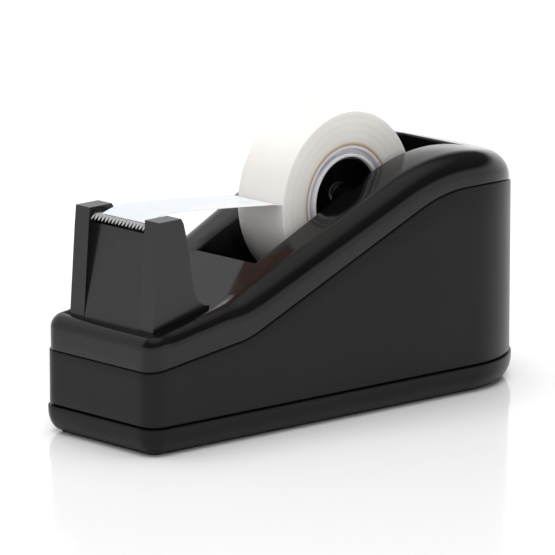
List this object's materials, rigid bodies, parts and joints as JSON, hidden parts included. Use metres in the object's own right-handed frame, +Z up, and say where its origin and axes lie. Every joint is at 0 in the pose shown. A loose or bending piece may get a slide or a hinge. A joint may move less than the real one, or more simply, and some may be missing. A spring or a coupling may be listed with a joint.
{
  "type": "desk tape dispenser",
  "caption": "Weighted desktop tape dispenser with a two-part black housing, a cutter tower with serrated blade and a lift-out tape roll on a hub.",
  "frame": {"origin": "bottom centre of the bounding box, on the surface the dispenser stands on", "axes": "+Z up, +Y from the blade end to the tall rear end, +X along the roll axis to the long side shown"},
  "size_m": [0.0634, 0.1546, 0.0858],
  "materials": {
    "base_plastic": "satin",
    "pad_foam": "matte",
    "shell_plastic": "satin",
    "cover_plastic": "gloss",
    "tower_plastic": "satin",
    "blade_steel": "brushed",
    "ballast_iron": "rough",
    "screw_steel": "satin",
    "hub_plastic": "gloss",
    "core_plastic": "translucent satin",
    "tape_wound": "translucent matte",
    "tape_film": "translucent matte"
  },
  "bodies": {
    "housing": {"base_tray": "base_plastic", "foot_pad": "pad_foam", "body_shell": "shell_plastic", "top_cover": "cover_plastic", "cutter_tower": "tower_plastic", "cutter_blade": "blade_steel", "ballast_block": "ballast_iron", "ballast_screws": "screw_steel", "base_screws": "screw_steel", "tower_screws": "screw_steel"},
    "tape_end": {"tape_tail": "tape_film"},
    "roll": {"hub_left": "hub_plastic", "hub_right": "hub_plastic", "tape_core": "core_plastic", "tape_roll": "tape_wound"}
  },
  "joints": [
    {"name": "roll_lift", "type": "slide", "parent": "housing", "child": "tape_end", "axis": [0, 0, 1], "range_m": [0, 0.06]},
    {"name": "roll_spin", "type": "hinge", "parent": "tape_end", "child": "roll", "pos_m": [0, 0.01345, 0.0595], "axis": [1, 0, 0], "continuous": true}
  ]
}
